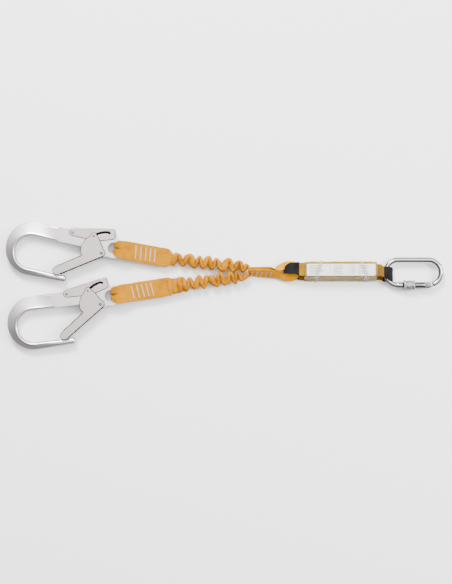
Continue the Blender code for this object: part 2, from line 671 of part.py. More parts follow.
# ---- connector --------------------------------------------------------------------------------
def carabiner():
    z = CARABINER_Z
    start = arc((OVAL_LEFT, OVAL_Y), OVAL_RADIUS, 270, 90, 20)
    end = arc((OVAL_RIGHT, OVAL_Y), OVAL_RADIUS, 90, -74, 18)
    body = wire("carabiner_body", [(x, y, z) for x, y in start + end], WIRE, 2)
    nose = cylinder("carabiner_nose", BAR_RADIUS, 9.0, (325.0, BAR_Y, z), "X", 20)
    cut(nose, box("carabiner_nose_slot", (9.0, 14.0, 4.6), (326.0, BAR_Y, z)))
    cut(nose, box("carabiner_latch_notch", (4.4, 8.0, 14.0), (324.4, BAR_Y + 2.4, z)))
    tongue_shape = arc((RIVET_X, BAR_Y), 5.4, 60, 300, 14) + [(386.0, -3.0), (387.0, 3.4)]
    tongue = outline("carabiner_tongue", [tongue_shape, arc((RIVET_X, BAR_Y), 1.9, 0, 330, 11)],
                     z - 2.0, z + 2.0)
    join(body, nose)
    join(body, tongue)
    finish(body, "steel")

    gate = cylinder("carabiner_gate", BAR_RADIUS, RIVET_X - 330.0, ((RIVET_X + 330.0) / 2, BAR_Y, z),
                    "X", 20)
    join(gate, cylinder("carabiner_gate_knuckle", BAR_RADIUS, 9.6, (RIVET_X, BAR_Y, z), "Z", 24))
    cut(gate, box("carabiner_gate_fork", (16.0, 14.0, 4.6), (378.8, BAR_Y, z)))
    cut(gate, cylinder("carabiner_gate_rivet_bore", 1.9, 20.0, (RIVET_X, BAR_Y, z), "Z", 12))
    cut(gate, cylinder("carabiner_gate_spring_bore", 2.5, 22.0, (361.0, BAR_Y, z), "X", 12))
    join(gate, box("carabiner_gate_tongue", (10.0, 6.4, 4.0), (327.0, BAR_Y, z)))
    cut(gate, cylinder("carabiner_gate_pin_bore", 1.3, 12.0, (LATCH_X, BAR_Y, z), "Z", 12))
    finish(gate, "steel")

    rivet = turned("carabiner_gate_rivet", [(0, 5.9), (1.6, 5.9), (1.6, -5.9), (0, -5.9)])
    rivet.location = Vector((RIVET_X, BAR_Y, z)) * MM
    pin = turned("carabiner_latch_pin", [(0, 4.9), (1.0, 4.9), (1.0, -4.9), (0, -4.9)])
    pin.location = Vector((LATCH_X, BAR_Y, z)) * MM

    bore, flange, groove, ring = 6.1, 9.0, 7.6, 8.6
    length = SLEEVE_LENGTH
    profile = [(bore, 0.0), (flange, -0.0), (flange, -3.2), (groove, -3.8), (groove, -6.4),
               (ring, -7.0), (ring, -12.8), (groove, -13.6), (groove, -16.6), (flange, -17.2),
               (flange, -length), (bore, -length)]
    sleeve = turned("carabiner_screw_sleeve", profile, "X", 24, ring=True)
    sleeve.location = Vector((SLEEVE_START + length, BAR_Y, z)) * MM
    finish(sleeve, "aluminium")

    turns, per_turn, low, high = 5, 8, 351.0, 365.0
    coil = [(low + (high - low) * i / (turns * per_turn),
             BAR_Y + 1.8 * math.cos(math.tau * i / per_turn),
             z + 1.8 * math.sin(math.tau * i / per_turn)) for i in range(turns * per_turn + 1)]
    spring = wire("carabiner_gate_spring", coil, 0.35, 1)
    plunger = turned("carabiner_gate_plunger", [(0, 2.4), (1.2, 2.0), (2.2, 0.8), (2.2, -2.0), (0, -2.0)],
                     "X")
    plunger.location = Vector((368.0, BAR_Y, z)) * MM
    for piece in (rivet, pin, spring, plunger):
        finish(piece, "steel")
    origin_at(gate, (RIVET_X, BAR_Y, z))


# ---- assembly ---------------------------------------------------------------------------------
def leg_base(key):
    """Empty at a hook's eye, turned along its strap."""
    x, y, heading, _, _ = LEGS[key]
    base = bpy.data.objects.new(f"leg_{key}_frame", None)
    base.location = Vector((x, y, HOOK_MID_Z)) * MM
    base.rotation_euler = (0, 0, math.radians(heading))
    PARTS.objects.link(base)
    return base


for leg in LEGS:
    frame = leg_base(leg)
    hook_pieces(leg, frame)
    leg_end(leg, frame)
    elastic_leg(leg)
yoke()
tear_webbing()
pack_cover()
absorber_eyes()
carabiner()

root = bpy.data.objects.new("lanyard_frame", None)
root.location = Vector(FRAME_SHIFT) * MM
PARTS.objects.link(root)
for piece in list(PARTS.objects) + list(CUTTERS.objects):
    if piece.parent is None and piece is not root:
        piece.parent = root
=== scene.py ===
import json
from itertools import accumulate
from math import atan2, copysign, cos, degrees, exp, pi, radians, sin, sqrt, tau

import bmesh
import bpy
from mathutils import Matrix, Vector
from mathutils.noise import noise


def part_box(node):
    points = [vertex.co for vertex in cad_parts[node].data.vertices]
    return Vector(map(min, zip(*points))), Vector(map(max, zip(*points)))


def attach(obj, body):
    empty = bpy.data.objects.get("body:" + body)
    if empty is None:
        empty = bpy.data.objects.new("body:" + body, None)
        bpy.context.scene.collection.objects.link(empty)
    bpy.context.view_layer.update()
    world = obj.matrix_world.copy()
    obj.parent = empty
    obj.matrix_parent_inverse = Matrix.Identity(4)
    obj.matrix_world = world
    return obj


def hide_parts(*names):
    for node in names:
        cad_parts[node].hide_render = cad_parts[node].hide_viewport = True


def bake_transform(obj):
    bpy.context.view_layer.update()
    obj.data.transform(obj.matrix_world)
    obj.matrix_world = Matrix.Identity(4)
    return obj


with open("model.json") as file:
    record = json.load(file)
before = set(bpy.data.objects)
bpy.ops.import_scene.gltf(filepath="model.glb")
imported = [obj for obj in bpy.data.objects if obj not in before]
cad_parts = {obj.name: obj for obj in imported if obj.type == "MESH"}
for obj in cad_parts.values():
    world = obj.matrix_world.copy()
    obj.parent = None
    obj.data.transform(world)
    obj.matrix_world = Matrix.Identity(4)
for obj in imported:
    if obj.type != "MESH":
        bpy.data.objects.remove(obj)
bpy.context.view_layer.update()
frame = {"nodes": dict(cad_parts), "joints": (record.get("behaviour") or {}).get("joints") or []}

MM = 0.001
JOINTS = {joint["name"]: joint for joint in frame["joints"]}

# ---- placement, worked out from the frame ----
ORIGIN = (110.0, 29.2, 14.0)  # the yoke's swing axis in design coordinates, mm
LOOP_CENTRE = 13.0  # eye centre to the strap's bight, mm
HOOK_ARM = 213.0  # heading of a closed gate, degrees
GATE_PIVOT, LEVER_PIVOT = (-20.5, -12.4), (-79.8, 15.7)
PIN_RADIUS, PIN_ARM, PIN_START = 1.5, 34.45, 124.5
GATE_OPEN, LEVER_OPEN = 40.0, 4.0
LEVER_PLATE, GATE_PLATE, BODY_HALF = (6.3, 8.0), (8.3, 10.1), 6.0
EYE_HOLE, EYE_RIM = 11.0, 18.5


def hook_matrix(key):
    """Hook coordinates (mm, eye at the origin, +x towards the yoke) to the frame's metres."""
    swing = JOINTS[f"hook_{key}_swing"]
    across = Vector(swing["axis"]).normalized()
    across *= 1.0 if across.y > 0 else -1.0
    along = Vector((across.y, -across.x, 0.0))
    turn = Matrix((along, across, Vector((0, 0, 1)))).transposed().to_4x4()
    eye = Vector(swing["pos_m"]) - along * LOOP_CENTRE * MM
    return Matrix.Translation(eye) @ turn @ Matrix.Scale(MM, 4)


# design coordinates (mm) to the frame's metres
WORLD = (Matrix.Translation(Vector(JOINTS["yoke_swing"]["pos_m"]) - Vector(ORIGIN) * MM)
         @ Matrix.Scale(MM, 4))
HOOK = {key: hook_matrix(key) for key in "ab"}


# ---- mesh helpers ----
def ease(value, low, high):
    t = min(max((value - low) / (high - low), 0.0), 1.0)
    return t * t * (3 - 2 * t)


def blend(value, low, high, first, second):
    return first + (second - first) * ease(value, low, high)


def arc(centre, radius, start, end, steps):
    angles = [radians(start + (end - start) * i / steps) for i in range(steps + 1)]
    return [(centre[0] + radius * cos(a), centre[1] + radius * sin(a)) for a in angles]


def toward(angle):
    """Unit vector at an angle in degrees."""
    return Vector((cos(radians(angle)), sin(radians(angle))))


def smooth_path(points, per_span):
    """Catmull-Rom curve through the points, which may have any number of coordinates."""
    points = [Vector(p) for p in points]
    last = len(points) - 1
    result = []
    for i in range(last):
        p0, p1, p2, p3 = (points[min(max(i + k, 0), last)] for k in (-1, 0, 1, 2))
        for step in range(per_span):
            t = step / per_span
            result.append(0.5 * (2 * p1 + (p2 - p0) * t + (2 * p0 - 5 * p1 + 4 * p2 - p3) * t ** 2
                                 + (3 * p1 - p0 - 3 * p2 + p3) * t ** 3))
    return result + [points[-1]]


def even_path(points, spacing):
    """The same path with points evenly spaced along it."""
    points = [Vector(p) for p in points]
    lengths = [0.0, *accumulate((b - a).length for a, b in zip(points, points[1:]))]
    count = max(2, round(lengths[-1] / spacing))
    result, index = [], 0
    for i in range(count + 1):
        target = lengths[-1] * i / count
        while index < len(lengths) - 2 and lengths[index + 1] < target:
            index += 1
        span = lengths[index + 1] - lengths[index] or 1.0
        result.append(points[index].lerp(points[index + 1], (target - lengths[index]) / span))
    return result


def in_scene(name, data):
    obj = bpy.data.objects.new(name, data)
    bpy.context.scene.collection.objects.link(obj)
    return obj


def add_piece(name, mesh, matrix, smooth):
    """Object in the scene from a mesh in mm, its place in its vertices. Edges sharper than smooth,
    in degrees, stay sharp, and the flat faces of a plate are shaded flat."""
    mesh.transform(matrix)
    obj = in_scene(name, mesh)
    mesh.shade_smooth()
    if smooth < 180:
        mesh.set_sharp_from_angle(angle=radians(smooth))
    if smooth < 30:
        for face in mesh.polygons:
            face.use_smooth = abs(face.normal.z) < 0.99
    return obj


def written(bm, mesh):
    bm.to_mesh(mesh)
    bm.free()
    return mesh


def join_meshes(name, meshes):
    """One mesh from several."""
    bm = bmesh.new()
    for mesh in meshes:
        bm.from_mesh(mesh)
    return written(bm, bpy.data.meshes.new(name))


def loft(name, rings, coords=None, closed=False):
    """Skin equal rings of points, capped unless closed. coords(i, j) lays out the weave, in mm."""
    rows, cols = len(rings), len(rings[0])
    verts = [tuple(p) for ring in rings for p in ring]
    where = [((i, j), (i, j + 1), (i + 1, j + 1), (i + 1, j))
             for i in range(rows if closed else rows - 1) for j in range(cols)]
    if not closed:
        where += [[(i, j) for j in range(cols)][::step] for i, step in ((0, -1), (rows - 1, 1))]
    faces = [[i % rows * cols + j % cols for i, j in corners] for corners in where]
    mesh = bpy.data.meshes.new(name)
    mesh.from_pydata(verts, [], faces)
    if coords:
        layout = mesh.attributes.new("weave", "FLOAT_VECTOR", "CORNER")
        flat = []
        for corners in where:
            for i, j in corners:
                flat += coords(i, j)
        layout.data.foreach_set("vector", flat)
    bm = bmesh.new()
    bm.from_mesh(mesh)
    bmesh.ops.recalc_face_normals(bm, faces=bm.faces)
    return written(bm, mesh)


def ends_of(path, i):
    """The points before and after a point, or the point itself at an end."""
    return Vector(path[max(i - 1, 0)]), Vector(path[min(i + 1, len(path) - 1)])


def band(name, path, side_at, half_at, thickness, bulge, across):
    """Flat strap along a path. side_at(i) points across it, half_at(i) is half its width and
    bulge(i, v) lifts its surface, v from -1 to 1 across."""
    rings, lengths = [], [0.0]
    steps = [-1 + 2 * j / across for j in range(across + 1)]
    for i, point in enumerate(path):
        before, after = ends_of(path, i)
        along = (after - before).normalized()
        side = Vector(side_at(i)).normalized()
        up = along.cross(side).normalized()
        half = half_at(i)
        ring = []
        for sign, order in ((1, steps), (-1, steps[::-1])):
            for v in order:
                edge = 1.0 - 0.45 * max(0.0, (abs(v) - 0.9) / 0.1) ** 2
                lift = (bulge(i, v) if bulge else 0.0) + sign * thickness / 2 * edge
                ring.append(Vector(point) + side * half * v + up * lift)
        rings.append(ring)
        lengths.append(lengths[-1] + (after - Vector(point)).length)
    total = 2 * (across + 1)

    def coords(i, j):
        j %= total
        v = -1 + 2 * j / across if j <= across else 1 - 2 * (j - across - 1) / across
        return (lengths[i], v * half_at(i), 0.0)

    return loft(name, rings, coords)


def tube(name, path, radius_at, sides):
    """Round wire along a path."""
    rings = []
    side = None
    for i, point in enumerate(path):
        before, after = ends_of(path, i)
        along = (after - before).normalized()
        if side is None:
            side = along.orthogonal().normalized()
        side = (side - along * side.dot(along)).normalized()
        other = along.cross(side)
        rings.append([point + (side * cos(tau * j / sides)
                               + other * sin(tau * j / sides)) * radius_at(i)
                      for j in range(sides)])
    return loft(name, rings)


def lathe(name, profile, steps, axis="Z", knurl=None):
    """Turned piece from a closed (radius, height) profile; knurl(i, j) is added to a radius."""
    rings = []
    for i in range(steps):
        angle = tau * i / steps
        ring = []
        for j, (r, h) in enumerate(profile):
            r += knurl(i, j) if knurl else 0.0
            x, y = r * cos(angle), r * sin(angle)
            ring.append((h, x, y) if axis == "X" else (x, y, h))
        rings.append(ring)
    return loft(name, rings, closed=True)


def outline_mesh(name, loops, low, high, bevel=0.0, segments=2):
    """Plate with the given outline and holes, its edges rounded."""
    curve = bpy.data.curves.new(name, "CURVE")
    curve.dimensions = "2D"
    curve.fill_mode = "BOTH"
    curve.extrude = (high - low) / 2
    for points in loops:
        spline = curve.splines.new("POLY")
        spline.points.add(len(points) - 1)
        for point, (x, y) in zip(spline.points, points):
            point.co = (x, y, 0.0, 1.0)
        spline.use_cyclic_u = True
    source = in_scene(name, curve)
    solved = source.evaluated_get(bpy.context.evaluated_depsgraph_get())
    mesh = bpy.data.meshes.new_from_object(solved)
    bpy.data.objects.remove(source)
    bm = bmesh.new()
    bm.from_mesh(mesh)
    bmesh.ops.remove_doubles(bm, verts=bm.verts, dist=1e-4)
    bmesh.ops.dissolve_limit(bm, angle_limit=radians(1), verts=bm.verts, edges=bm.edges)
    bmesh.ops.recalc_face_normals(bm, faces=bm.faces)
    if bevel:
        rim = [e for e in bm.edges if len(e.link_faces) == 2
               and e.calc_face_angle(0.0) > radians(60)
               and abs(e.verts[0].co.z - e.verts[1].co.z) < 1e-4]
        bmesh.ops.bevel(bm, geom=rim, offset=bevel, segments=segments, profile=0.5,
                        affect="EDGES", clamp_overlap=True)
    bmesh.ops.translate(bm, vec=(0, 0, (low + high) / 2), verts=bm.verts)
    return written(bm, mesh)


def box_mesh(name, size, centre, bevel=0.0):
    bm = bmesh.new()
    bmesh.ops.create_cube(bm, size=1.0)
    bmesh.ops.scale(bm, vec=size, verts=bm.verts)
    if bevel:
        bmesh.ops.bevel(bm, geom=bm.edges[:], offset=bevel, segments=2, profile=0.5,
                        affect="EDGES")
    bmesh.ops.translate(bm, vec=centre, verts=bm.verts)
    return written(bm, bpy.data.meshes.new(name))


def ribbon(path, thickness):
    """Closed outline with round ends of a strip along an open 2D path."""
    path = [Vector(p) for p in path]
    half = thickness / 2
    sides = []
    for i in range(len(path)):
        before, after = ends_of(path, i)
        heading = (after - before).normalized()
        sides.append(Vector((-heading.y, heading.x)))
    end = degrees(atan2(sides[-1].y, sides[-1].x))
    start = degrees(atan2(sides[0].y, sides[0].x))
    left = [tuple(p + s * half) for p, s in zip(path, sides)]
    right = [tuple(p - s * half) for p, s in zip(path, sides)]
    return (left[:-1] + arc(path[-1], half, end, end - 180, 10) + right[-2:0:-1]
            + arc(path[0], half, start - 180, start - 360, 10)[:-1])


# ---- materials ----
def fill_ramp(node, stops):
    elements = node.color_ramp.elements
    while len(elements) < len(stops):
        elements.new(0.5)
    for element, (at, colour) in zip(elements, stops):
        element.position = at
        element.color = (*colour, 1.0)


class Nodes:
    """Short ways to add nodes to a material or a world."""

    def __init__(self, owner):
        owner.use_nodes = True
        self.owner, self.tree = owner, owner.node_tree

    def add(self, kind, **values):
        """A node with its properties and inputs set, and the inputs that are sockets linked."""
        node = self.tree.nodes.new(kind)
        for key, value in values.items():
            if isinstance(value, bpy.types.NodeSocket):
                self.link(value, node.inputs[key])
            elif key in node.inputs:
                node.inputs[key].default_value = value
            else:
                setattr(node, key, value)
        return node

    def link(self, source, target):
        self.tree.links.new(source, target)

    def feed(self, name, value, shader="Principled BSDF"):
        """Link one of the shader's sockets, or set it where the value is the same all over."""
        socket = self.tree.nodes[shader].inputs[name]
        if isinstance(value, bpy.types.NodeSocket):
            self.link(value, socket)
        else:
            socket.default_value = value

    def place(self):
        """Object coordinates, in metres."""
        return self.add("ShaderNodeTexCoord").outputs["Object"]

    def weave(self):
        """The layout of the cloth, in mm: along, across."""
        return self.add("ShaderNodeAttribute", attribute_name="weave").outputs["Vector"]

    def stretched(self, scale):
        return self.add("ShaderNodeMapping", Vector=self.place(), Scale=scale).outputs["Vector"]

    def noise(self, vector, scale, detail=3.0):
        return self.add("ShaderNodeTexNoise", Vector=vector, Scale=scale,
                        Detail=detail).outputs["Fac"]

    def waves(self, vector, pitch, direction, distortion):
        """Bands with the given pitch."""
        return self.add("ShaderNodeTexWave", bands_direction=direction, Vector=vector,
                        Scale=0.314 / pitch, Distortion=distortion).outputs["Fac"]

    def ramp(self, factor, stops):
        node = self.add("ShaderNodeValToRGB", Fac=factor)
        fill_ramp(node, stops)
        return node.outputs["Color"]

    def spread(self, factor, low, high):
        return self.add("ShaderNodeMapRange", Value=factor,
                        **{"To Min": low, "To Max": high}).outputs["Result"]

    def maths(self, operation, first, second):
        node = self.add("ShaderNodeMath", operation=operation)
        for socket, value in zip(node.inputs, (first, second)):
            if isinstance(value, (int, float)):
                socket.default_value = value
            else:
                self.link(value, socket)
        return node.outputs["Value"]

    def mix(self, factor, first, second):
        node = self.add("ShaderNodeMix", data_type="RGBA")
        for name, value in (("Factor", factor), ("A", first), ("B", second)):
            socket = [s for s in node.inputs if s.name == name and s.enabled][0]
            if isinstance(value, tuple):
                socket.default_value = (*value, 1.0)
            else:
                self.link(value, socket)
        return [s for s in node.outputs if s.enabled][0]

    def bump(self, height, strength, distance, **normal):
        return self.add("ShaderNodeBump", Strength=strength, Distance=distance, Height=height,
                        **normal).outputs["Normal"]


def surface(name, roughness, metallic=0.0):
    m = Nodes(bpy.data.materials.new(name))
    m.feed("Roughness", roughness)
    m.feed("Metallic", metallic)
    return m


def shaded(colour, factor):
    return tuple(c * factor for c in colour)


def webbing_material(name, colour, darker_tone_and_painted_shade, rib=1.1, roughness=0.82):
    """Woven narrow fabric: ribs along the strap crossed by fine picks, with a faint twill."""
    m = surface(name, roughness)
    weave, place = m.weave(), m.place()
    ribs = m.waves(weave, rib, "Y", 0.4)
    picks = m.waves(weave, 0.8, "X", 0.6)
    twill = m.waves(weave, 2.6, "DIAGONAL", 0.3)
    height = m.maths("ADD", m.maths("MULTIPLY", ribs, picks), m.maths("MULTIPLY", twill, 0.35))
    patch = m.noise(place, 55.0, 4.0)
    # Random patches reach the darker tone, and the weave's valleys a darker copy of it: painted
    # shade in the weave.
    tone = m.ramp(patch, [(0.3, darker_tone_and_painted_shade), (0.55, colour), (0.75, shaded(colour, 1.06))])
    m.feed("Base Color", m.mix(m.spread(height, 0.62, 1.0), shaded(darker_tone_and_painted_shade, 0.85), tone))
    m.feed("Roughness", m.spread(m.noise(place, 300.0), roughness - 0.12, roughness + 0.12))
    m.feed("Normal", m.bump(height, 0.55, 0.0004))
    m.feed("Specular IOR Level", 0.06)
    m.feed("Sheen Weight", 0.02)
    m.feed("Sheen Roughness", 0.4)
    return m.owner


def metal_material(name, colour, roughness, side=0.25, grain=(1.0, 1.0, 1.0),
                   turned=(0.3, 0.62, 0.78)):
    """Worked metal: fine directional grain, cloudy polish and small handling marks, with upright
    faces painted darker as painted shade. side is the tone of that painted shade on upright faces,
    and turned is where level faces reach the full tone."""
    m = surface(name, roughness, 1.0)
    place = m.place()
    fine = m.noise(m.stretched(grain), 900.0, 6.0)
    cloud = m.noise(place, 38.0, 4.0)
    marks = m.noise(place, 210.0, 8.0)
    tone = m.ramp(cloud, [(0.3, shaded(colour, 0.92)), (0.7, colour)])
    grained = m.mix(m.spread(fine, 0.0, 0.25), tone, shaded(colour, 0.8))
    # Painted shade: faces that stand upright, read from the object-space normal, take the darker
    # side tone.
    upright = m.add("ShaderNodeSeparateXYZ", Vector=m.add("ShaderNodeTexCoord").outputs["Normal"])
    upright_painted_shade = m.ramp(m.maths("ABSOLUTE", upright.outputs["Z"], 0.0),
                      [(at, (level,) * 3) for at, level in zip(turned, (0.0, 0.45, 1.0))])
    m.feed("Base Color", m.mix(upright_painted_shade, shaded(colour, side), grained))
    m.feed("Roughness", m.maths("ADD", m.spread(cloud, roughness - 0.06, roughness + 0.07),
                                m.spread(marks, -0.05, 0.07)))
    m.feed("Normal", m.bump(fine, 0.15, 0.00006, Normal=m.bump(marks, 0.12, 0.00012)))
    return m.owner


def thread_material(name, colour):
    """Matt sewing thread."""
    m = surface(name, 0.6)
    place = m.place()
    tone = m.ramp(m.noise(place, 400.0), [(0.35, shaded(colour, 0.72)), (0.7, colour)])
    m.feed("Base Color", tone)
    m.feed("Normal", m.bump(m.noise(place, 2500.0), 0.4, 0.00015))
    m.feed("Sheen Weight", 0.3)
    return m.owner


def film_material(name, tint, alpha):
    """Clear shrink film: see-through, glossy and finely wrinkled."""
    m = surface(name, 0.16)
    place = m.place()
    wrinkles = m.noise(m.stretched((1.0, 0.25, 1.0)), 260.0, 5.0)
    m.feed("Base Color", m.ramp(m.noise(place, 60.0), [(0.3, shaded(tint, 0.82)), (0.7, tint)]))
    m.feed("Alpha", m.spread(m.noise(place, 90.0), alpha - 0.1, alpha + 0.12))
    m.feed("Roughness", m.spread(wrinkles, 0.1, 0.3))
    m.feed("Normal", m.bump(wrinkles, 0.5, 0.0005))
    m.feed("Coat Weight", 0.05)
    m.feed("Specular IOR Level", 0.3)
    return m.owner


def plain_material(name, colour, roughness, speck=0.08):
    """Moulded or printed surface with slight mottling."""
    m = surface(name, roughness)
    place = m.place()
    tone = m.ramp(m.noise(place, 62.5), [(0.3, shaded(colour, 1 - speck)), (0.7, colour)])
    m.feed("Base Color", tone)
    m.feed("Roughness", m.spread(m.noise(place, 500.0 / 3), roughness - 0.08, roughness + 0.08))
    m.feed("Normal", m.bump(m.noise(place, 500.0), 0.2, 0.0001))
    return m.owner


EVEN, DRAWN, ROLLED = (1.0, 1.0, 1.0), (0.15, 1.0, 1.0), (0.2, 1.0, 1.0)  # scale of the grain
LOOK = {look: build(*values) for build, rows in (
    # Webbing rows: name, colour, a darker tone (random patches, and painted shade in the weave's
    # valleys), then rib and roughness where given.
    (webbing_material, {
        "webbing": ("webbing_orange", (0.43, 0.178, 0.0), (0.345, 0.128, 0.0)),
        "elastic": ("webbing_gathered", (0.49, 0.2, 0.0), (0.3, 0.098, 0.0), 0.9),
        # The yoke is the same orange webbing, painted lighter to make up for its faces sloping from
        # the light: painted light.
        "yoke": ("webbing_yoke", (0.62, 0.256, 0.0), (0.5, 0.185, 0.0)),
        "tear": ("webbing_tear", (0.36, 0.24, 0.03), (0.24, 0.15, 0.012)),
        "neck_left": ("webbing_neck_left", (0.32, 0.17, 0.004), (0.22, 0.11, 0.002)),
        "neck_right": ("webbing_neck_right", (0.23, 0.117, 0.0), (0.17, 0.08, 0.0)),
        "protector": ("webbing_black", (0.014, 0.014, 0.015), (0.006, 0.006, 0.006), 1.4, 0.9)}),
    (thread_material, {
        "thread": ("thread_pink", (0.56, 0.36, 0.22)),
        # The yoke's thread is the legs' thread painted darker: painted shade.
        "yoke_thread": ("thread_yoke", (0.4, 0.25, 0.15)),
        "dark_thread": ("thread_dark", (0.05, 0.045, 0.04))}),
    # Metal rows: name, colour, roughness, then where given side (the tone of the painted shade on
    # upright faces), grain and turned.
    (metal_material, {
        "hook": ("hook_forged", (0.62, 0.585, 0.58), 0.3, 0.5),
        "plate": ("hook_plate", (0.475, 0.42, 0.417), 0.36, 0.6, ROLLED),
        # rim: near-black metal for the strips of painted shade at the plates' edges and in the
        # lever's slot.
        "rim": ("hook_rim", (0.01, 0.008, 0.008), 0.6),
        "rivet": ("rivet_steel", (0.27, 0.235, 0.21), 0.32),
        "spring": ("spring_wire", (0.26, 0.26, 0.265), 0.35),
        "steel": ("connector_steel", (0.42, 0.415, 0.41), 0.15, 0.22, DRAWN, (0.66, 0.86, 0.95)),
        "gate_steel": ("gate_steel", (0.2, 0.19, 0.185), 0.2, 0.25, DRAWN, (0.7, 0.9, 0.97)),
        "sleeve": ("sleeve_knurled", (0.33, 0.32, 0.315), 0.28, 0.4, EVEN, (0.4, 0.7, 0.85))}),
    (film_material, {
        "film": ("film_clear", (0.33, 0.205, 0.03), 0.54),
        "tape": ("film_band", (0.6, 0.55, 0.42), 0.24)}),
    (plain_material, {
        "label": ("label_white", (0.74, 0.75, 0.72), 0.38, 0.04),
        "ink": ("label_ink", (0.07, 0.07, 0.07), 0.5)}),
) for look, values in rows.items()}


def dress(obj, look, body=None, replaces=()):
    """Material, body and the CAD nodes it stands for."""
    obj.data.materials.clear()
    obj.data.materials.append(LOOK[look])
    if body:
        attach(obj, body)
    if replaces:
        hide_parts(*replaces)
    return obj


HARD, SOFT = 24, 60  # angles in degrees that stay sharp on metal and on cloth


def make(name, mesh, matrix, smooth, look, body, replaces=()):
    """A dressed piece from a mesh, or from several joined."""
    if isinstance(mesh, list):
        mesh = join_meshes(name, mesh)
    return dress(add_piece(name, mesh, matrix, smooth), look, body, replaces)


def pair(name, loops, low, high, bevel=0.0):
    """The same plate above and below the middle."""
    return [outline_mesh(name, loops, *span, bevel) for span in ((low, high), (-high, -low))]


# ---- hooks ----
def pressed(key, part, name, meshes, outline, plate, width, painted_shade_strip):
    """A pressed part, with a near-black strip just outside and below its outline on both plates,
    shaped
    like a rolled edge: painted shade that outlines the part. The last argument is a second
    near-black patch laid under the plates, also painted shade.
    """
    low, high = plate
    rim = f"hook_{key}_{part}_rim"
    path = [p.to_2d() for p in even_path([(x, y, 0) for x, y in outline + outline[:1]], 1.5)]
    edges = (pair(rim, [ribbon(path, width)], high - 1.1, high - 0.55)
             + pair(rim, [painted_shade_strip], low - 0.2, low + 0.25))
    body = f"hook_{key}_{part}"
    make(rim, edges, HOOK[key], HARD, "rim", body)
    make(name, meshes, HOOK[key], HARD, "plate", body, (body,))


def pin_place(turn=0.0):
    """The lock pin's centre when the gate has turned by some degrees."""
    return Vector(GATE_PIVOT) + PIN_ARM * toward(PIN_START - turn)


def plate_outline():
    """Flat part of the hook round its eye and along its spine."""
    recess = PIN_ARM - PIN_RADIUS - 0.6
    return (arc((0, 0), EYE_RIM, 104, -112, 72)
            + [(-14, -18.2), (-18.5, -18.8), (-23, -18.6), (-27, -17.8), (-31, -16.4), (-37, -13.6),
               (-44, -10.4), (-52, -8.2), (-60, -7.0), (-103, -5.6), (-113.5, 3.0), (-107.5, 20.5),
               (-100, 20.4), (-47.5, 20.0), (-44.2, 17.4), (-42.8, 13.6)]
            + arc(GATE_PIVOT, recess, 130.5, 66, 24))


def bar_edges():
    """Inner and outer edge of the bent bar, in step, from the spine to the nose."""
    pairs = [((x, -5.5 + 1.5 * ease(-x, 105, 148)), (x, 20.4 + 0.6 * ease(-x, 100, 148)))
             for x in (-80, -92, -100, -106, -112, -118, -124, -130, -136, -142)]
    for i in range(37):
        a = radians(90 + 5 * i)
        pairs.append(((-149.5 + 30 * cos(a), -34 + 30 * sin(a)),
                      (-149 + 49 * cos(a), -28 + 49 * sin(a))))
    pairs += [((x, -64 - 1.6 * ease(x, -150, -95)), (x, -77.0 - 0.3 * ease(x, -150, -120)))
              for x in (-142, -135, -128, -121, -114, -107, -100, -93, -87, -82.5)]
    return pairs


BEAD, WEDGE = 3.6, 3.9  # of the bend's section in mm: the bead's width, and the fall across it


def bar_section(width, contour, nose):
    """(share across, half thickness) from the inner edge to the outer: a bead, then a slope,
    which turns into a plain round section at the nose."""
    bead = BEAD / width
    begin = bead + 0.035
    rows = [(t * bead, 2.4 + 3.6 * sqrt(max(0.0, 1 - (1 - t) ** 2)))
            for t in (0.0, 0.03, 0.08, 0.16, 0.28, 0.45, 0.65, 0.85, 1.0)] + [(begin, 5.55)]
    rows += [(begin + (1 - begin) * t, 5.6 - WEDGE * t ** 0.9)
             for t in (0.1, 0.2, 0.3, 0.4, 0.5, 0.6, 0.7, 0.8, 0.88, 0.94)]
    low = 5.6 - WEDGE
    rows += [(0.965, low * 0.97), (0.985, low * 0.86), (1.0, low * 0.6)]
    plain = []
    for share, half in rows:
        edge = min(share, 1 - share) * width
        flat = 5.35 - 1.9 * max(0.0, 1 - edge / 2.4) ** 2
        half = flat + (half - flat) * contour
        circle = 5.7 * max(0.0, 1 - (2 * share - 1) ** 2) ** 0.4 + 0.5
        plain.append((share, half + (circle - half) * nose))
    return plain


def forged_body(key):
    """The forged hook: a flat eye and spine, then a beaded wedge round the bend to the nose."""
    name = f"hook_{key}_forged_body"
    loops = [plate_outline(), arc((0, 0), EYE_HOLE, 0, 354, 59), arc(GATE_PIVOT, 2.6, 0, 345, 23),
             arc(LEVER_PIVOT, 2.2, 0, 345, 23)]
    plate = outline_mesh(name, loops, -BODY_HALF, BODY_HALF, 1.3, 4)
    pairs = bar_edges()
    rings = []
    for i, (inner, outer) in enumerate(pairs):
        inner, outer = Vector(inner), Vector(outer)
        along = i / (len(pairs) - 1)
        section = bar_section((outer - inner).length, ease(i, 2, 9), ease(along, 0.76, 0.97))
        section = [(t, h * (1 - 0.12 * ease(along, 0.8, 1.0))) for t, h in section]
        rings.append([(*inner.lerp(outer, t), h) for t, h in section]
                     + [(*inner.lerp(outer, t), -h) for t, h in reversed(section)])
    last = [Vector(p) for p in rings[-1]]
    middle = sum(last, Vector()) / len(last)
    for step in range(1, 8):
        turn = step * pi / 15.2
        tip = middle + Vector((5.6 * sin(turn), 0, 0))
        rings.append([tip + (p - middle) * cos(turn) for p in last])
    fine = []
    for first, second in zip(rings, rings[1:]):
        fine += [first, [(Vector(a) + Vector(b)) / 2 for a, b in zip(first, second)]]
    bar = loft(name, fine + [rings[-1]])
    make(name, [plate, bar], HOOK[key], HARD, "hook", f"hook_{key}",
         (f"hook_{key}_body",))


def slot_path():
    """The pin's path as the lever sees it, carried a little past both ends."""
    path = []
    for i in range(-2, 28):
        share = i / 26
        back = Matrix.Rotation(radians(LEVER_OPEN * share), 2)
        pivot = Vector(LEVER_PIVOT)
        path.append(pivot + back @ (pin_place(GATE_OPEN * share) - pivot))
    return path + [(-14.9, 26.6), (-13.6, 26.2), (-12.4, 25.5)]


